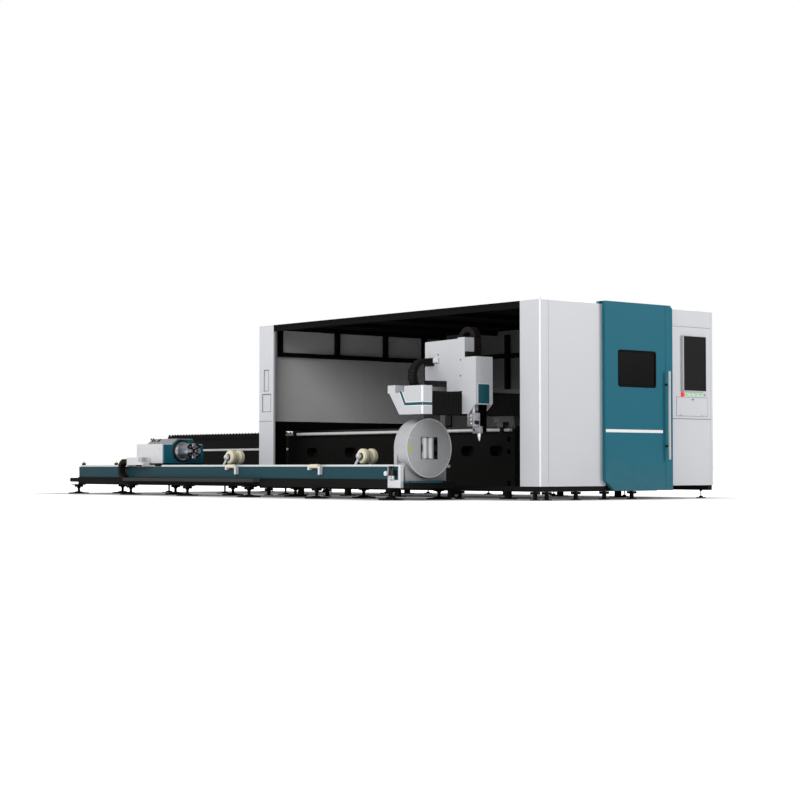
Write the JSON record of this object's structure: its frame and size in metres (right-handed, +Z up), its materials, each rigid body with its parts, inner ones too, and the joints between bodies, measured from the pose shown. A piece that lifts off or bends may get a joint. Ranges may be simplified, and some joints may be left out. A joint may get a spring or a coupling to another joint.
{
  "type": "laser cutting machine",
  "caption": "Laser cutting machine with a side-open cabin, sliding door, gantry head, shuttle pallet table and a chucked tube bed along its side.",
  "frame": {"origin": "on the floor under the middle of the machine's overall box", "axes": "+X along the machine towards the door and operator console, -Y towards the tube bed, +Z up"},
  "size_m": [9.085, 4.2649, 2.385],
  "materials": {
    "panel_white": "satin",
    "frame_black": "satin",
    "teal_paint": "satin",
    "bright_steel": "ground",
    "machine_grey": "satin",
    "cream_roller": "moulded",
    "screen": "gloss",
    "smoked_glass": "tinted",
    "red_plastic": "gloss",
    "green_plastic": "gloss",
    "chain_black": "moulded",
    "bellows_black": "coated cloth"
  },
  "bodies": {
    "cabin": {"roof": "frame_black", "cabin_frame": "frame_black", "far_wall": "panel_white", "end_wall": "panel_white", "corner_posts": "panel_white", "front_wall": "panel_white", "operator_console": "panel_white", "monitor": "screen", "base_frame": "frame_black", "machine_feet": "frame_black", "bed_walls": "frame_black", "bed_cross": "frame_black", "guide_rails": "bright_steel", "exchange_frame": "frame_black", "tube_bed_beams": "teal_paint", "tube_bed_base": "frame_black", "chain_tray": "machine_grey", "front_headstock": "machine_grey", "air_unit": "panel_white", "edge_rollers": "cream_roller"},
    "door": {"door_panel": "teal_paint", "door_window": "smoked_glass", "door_handle": "bright_steel"},
    "flap": {"keyboard_flap": "panel_white"},
    "estop_button": {"estop": "red_plastic"},
    "button_1": {"push_button_1": "green_plastic"},
    "button_2": {"push_button_2": "green_plastic"},
    "button_3": {"push_button_3": "green_plastic"},
    "button_4": {"push_button_4": "green_plastic"},
    "pallet_body": {"pallet": "frame_black"},
    "gantry": {"gantry_beam": "frame_black", "beam_covers": "panel_white", "beam_bellows": "bellows_black", "saddles": "machine_grey"},
    "y_carriage": {"head_cover": "panel_white", "head_carriage": "machine_grey"},
    "z_slide": {"cutting_head": "bright_steel"},
    "lift_chain_body": {"lift_chain": "chain_black"},
    "beam_chain_body": {"beam_chain_loop": "chain_black"},
    "rear_carriage": {"rear_base": "frame_black", "rear_body": "panel_white", "rear_face_plate": "teal_paint", "rear_top_cover": "machine_grey"},
    "bed_chain_body": {"bed_chain_loop": "chain_black"},
    "rear_chuck": {"rear_barrel": "bright_steel"},
    "front_chuck": {"front_rotor": "machine_grey"},
    "rear_jaw_body_1": {"rear_jaw_1": "bright_steel"},
    "front_jaw_body_1": {"front_jaw_1": "bright_steel"},
    "rear_jaw_body_2": {"rear_jaw_2": "bright_steel"},
    "front_jaw_body_2": {"front_jaw_2": "bright_steel"},
    "rear_jaw_body_3": {"rear_jaw_3": "bright_steel"},
    "front_jaw_body_3": {"front_jaw_3": "bright_steel"},
    "rear_jaw_body_4": {"rear_jaw_4": "bright_steel"},
    "front_jaw_body_4": {"front_jaw_4": "bright_steel"},
    "arm_body_1": {"support_arm_1": "panel_white"},
    "roller_body_1": {"support_roller_1": "cream_roller"},
    "arm_body_2": {"support_arm_2": "panel_white"},
    "roller_body_2": {"support_roller_2": "cream_roller"},
    "arm_body_3": {"support_arm_3": "panel_white"},
    "roller_body_3": {"support_roller_3": "cream_roller"}
  },
  "joints": [
    {"name": "gantry_slide", "type": "slide", "parent": "cabin", "child": "gantry", "axis": [-1, 0, 0], "range_m": [0, 3.4]},
    {"name": "head_slide", "type": "slide", "parent": "gantry", "child": "y_carriage", "axis": [0, 1, 0], "range_m": [-0.4, 2.5], "deforming": ["beam_bellows"]},
    {"name": "nozzle_lift", "type": "slide", "parent": "y_carriage", "child": "z_slide", "axis": [0, 0, 1], "range_m": [-0.08, 0.25]},
    {"name": "lift_chain_slide", "type": "slide", "parent": "y_carriage", "child": "lift_chain_body", "axis": [0, 0, 1], "range_m": [-0.04, 0.125]},
    {"name": "beam_chain_slide", "type": "slide", "parent": "y_carriage", "child": "beam_chain_body", "axis": [0, 1, 0], "range_m": [-1.25, 0.2]},
    {"name": "door_slide", "type": "slide", "parent": "cabin", "child": "door", "axis": [0, -1, 0], "range_m": [0, 0.95]},
    {"name": "flap_hinge", "type": "hinge", "parent": "cabin", "child": "flap", "pos_m": [4.4265, 1.7475, 1.036], "axis": [0, 1, 0], "range_deg": [0, 90]},
    {"name": "estop_push", "type": "slide", "parent": "cabin", "child": "estop_button", "axis": [-1, 0, 0], "range_m": [0, 0.008], "stiffness_N_per_m": 900},
    {"name": "button_1_push", "type": "slide", "parent": "cabin", "child": "button_1", "axis": [-1, 0, 0], "range_m": [0, 0.004], "stiffness_N_per_m": 700},
    {"name": "button_2_push", "type": "slide", "parent": "cabin", "child": "button_2", "axis": [-1, 0, 0], "range_m": [0, 0.004], "stiffness_N_per_m": 700},
    {"name": "button_3_push", "type": "slide", "parent": "cabin", "child": "button_3", "axis": [-1, 0, 0], "range_m": [0, 0.004], "stiffness_N_per_m": 700},
    {"name": "button_4_push", "type": "slide", "parent": "cabin", "child": "button_4", "axis": [-1, 0, 0], "range_m": [0, 0.004], "stiffness_N_per_m": 700},
    {"name": "pallet_slide", "type": "slide", "parent": "cabin", "child": "pallet_body", "axis": [1, 0, 0], "range_m": [0, 3.3]},
    {"name": "rear_carriage_slide", "type": "slide", "parent": "cabin", "child": "rear_carriage", "axis": [1, 0, 0], "range_m": [-0.2, 0.75]},
    {"name": "bed_chain_slide", "type": "slide", "parent": "rear_carriage", "child": "bed_chain_body", "axis": [1, 0, 0], "range_m": [-0.375, 0.1]},
    {"name": "rear_chuck_spin", "type": "hinge", "parent": "rear_carriage", "child": "rear_chuck", "pos_m": [-1.8825, -1.6075, 0.615], "axis": [1, 0, 0], "continuous": true},
    {"name": "front_chuck_spin", "type": "hinge", "parent": "cabin", "child": "front_chuck", "pos_m": [3.1735, -1.6075, 0.615], "axis": [1, 0, 0], "continuous": true},
    {"name": "rear_jaw_1_slide", "type": "slide", "parent": "rear_chuck", "child": "rear_jaw_body_1", "axis": [0, 0, 1], "range_m": [-0.02, 0]},
    {"name": "front_jaw_1_slide", "type": "slide", "parent": "front_chuck", "child": "front_jaw_body_1", "axis": [0, 0, 1], "range_m": [0, 0.036]},
    {"name": "rear_jaw_2_slide", "type": "slide", "parent": "rear_chuck", "child": "rear_jaw_body_2", "axis": [0, -1, 0], "range_m": [-0.02, 0]},
    {"name": "front_jaw_2_slide", "type": "slide", "parent": "front_chuck", "child": "front_jaw_body_2", "axis": [0, -1, 0], "range_m": [0, 0.036]},
    {"name": "rear_jaw_3_slide", "type": "slide", "parent": "rear_chuck", "child": "rear_jaw_body_3", "axis": [0, 0, -1], "range_m": [-0.02, 0]},
    {"name": "front_jaw_3_slide", "type": "slide", "parent": "front_chuck", "child": "front_jaw_body_3", "axis": [0, 0, -1], "range_m": [0, 0.036]},
    {"name": "rear_jaw_4_slide", "type": "slide", "parent": "rear_chuck", "child": "rear_jaw_body_4", "axis": [0, 1, 0], "range_m": [-0.02, 0]},
    {"name": "front_jaw_4_slide", "type": "slide", "parent": "front_chuck", "child": "front_jaw_body_4", "axis": [0, 1, 0], "range_m": [0, 0.036]},
    {"name": "arm_1_swing", "type": "hinge", "parent": "cabin", "child": "arm_body_1", "pos_m": [-0.91248, -1.6075, 0.33], "axis": [0, 1, 0], "range_deg": [0, 53]},
    {"name": "roller_1_spin", "type": "hinge", "parent": "arm_body_1", "child": "roller_body_1", "pos_m": [-0.75358, -1.6075, 0.523], "axis": [0, 1, 0], "continuous": true},
    {"name": "arm_2_swing", "type": "hinge", "parent": "cabin", "child": "arm_body_2", "pos_m": [0.89889, -1.6075, 0.33], "axis": [0, 1, 0], "range_deg": [-53, 0]},
    {"name": "roller_2_spin", "type": "hinge", "parent": "arm_body_2", "child": "roller_body_2", "pos_m": [1.14889, -1.6075, 0.318], "axis": [0, 1, 0], "continuous": true},
    {"name": "arm_3_swing", "type": "hinge", "parent": "cabin", "child": "arm_body_3", "pos_m": [1.93852, -1.6075, 0.33], "axis": [0, 1, 0], "range_deg": [0, 53]},
    {"name": "roller_3_spin", "type": "hinge", "parent": "arm_body_3", "child": "roller_body_3", "pos_m": [2.09742, -1.6075, 0.523], "axis": [0, 1, 0], "continuous": true}
  ],
  "couplings": [
    {"joint": "lift_chain_slide", "follows": "nozzle_lift", "ratio": 0.5},
    {"joint": "beam_chain_slide", "follows": "head_slide", "ratio": -0.5},
    {"joint": "bed_chain_slide", "follows": "rear_carriage_slide", "ratio": -0.5},
    {"joint": "rear_jaw_2_slide", "follows": "rear_jaw_1_slide", "ratio": 1},
    {"joint": "front_jaw_2_slide", "follows": "front_jaw_1_slide", "ratio": 1},
    {"joint": "rear_jaw_3_slide", "follows": "rear_jaw_1_slide", "ratio": 1},
    {"joint": "front_jaw_3_slide", "follows": "front_jaw_1_slide", "ratio": 1},
    {"joint": "rear_jaw_4_slide", "follows": "rear_jaw_1_slide", "ratio": 1},
    {"joint": "front_jaw_4_slide", "follows": "front_jaw_1_slide", "ratio": 1}
  ]
}
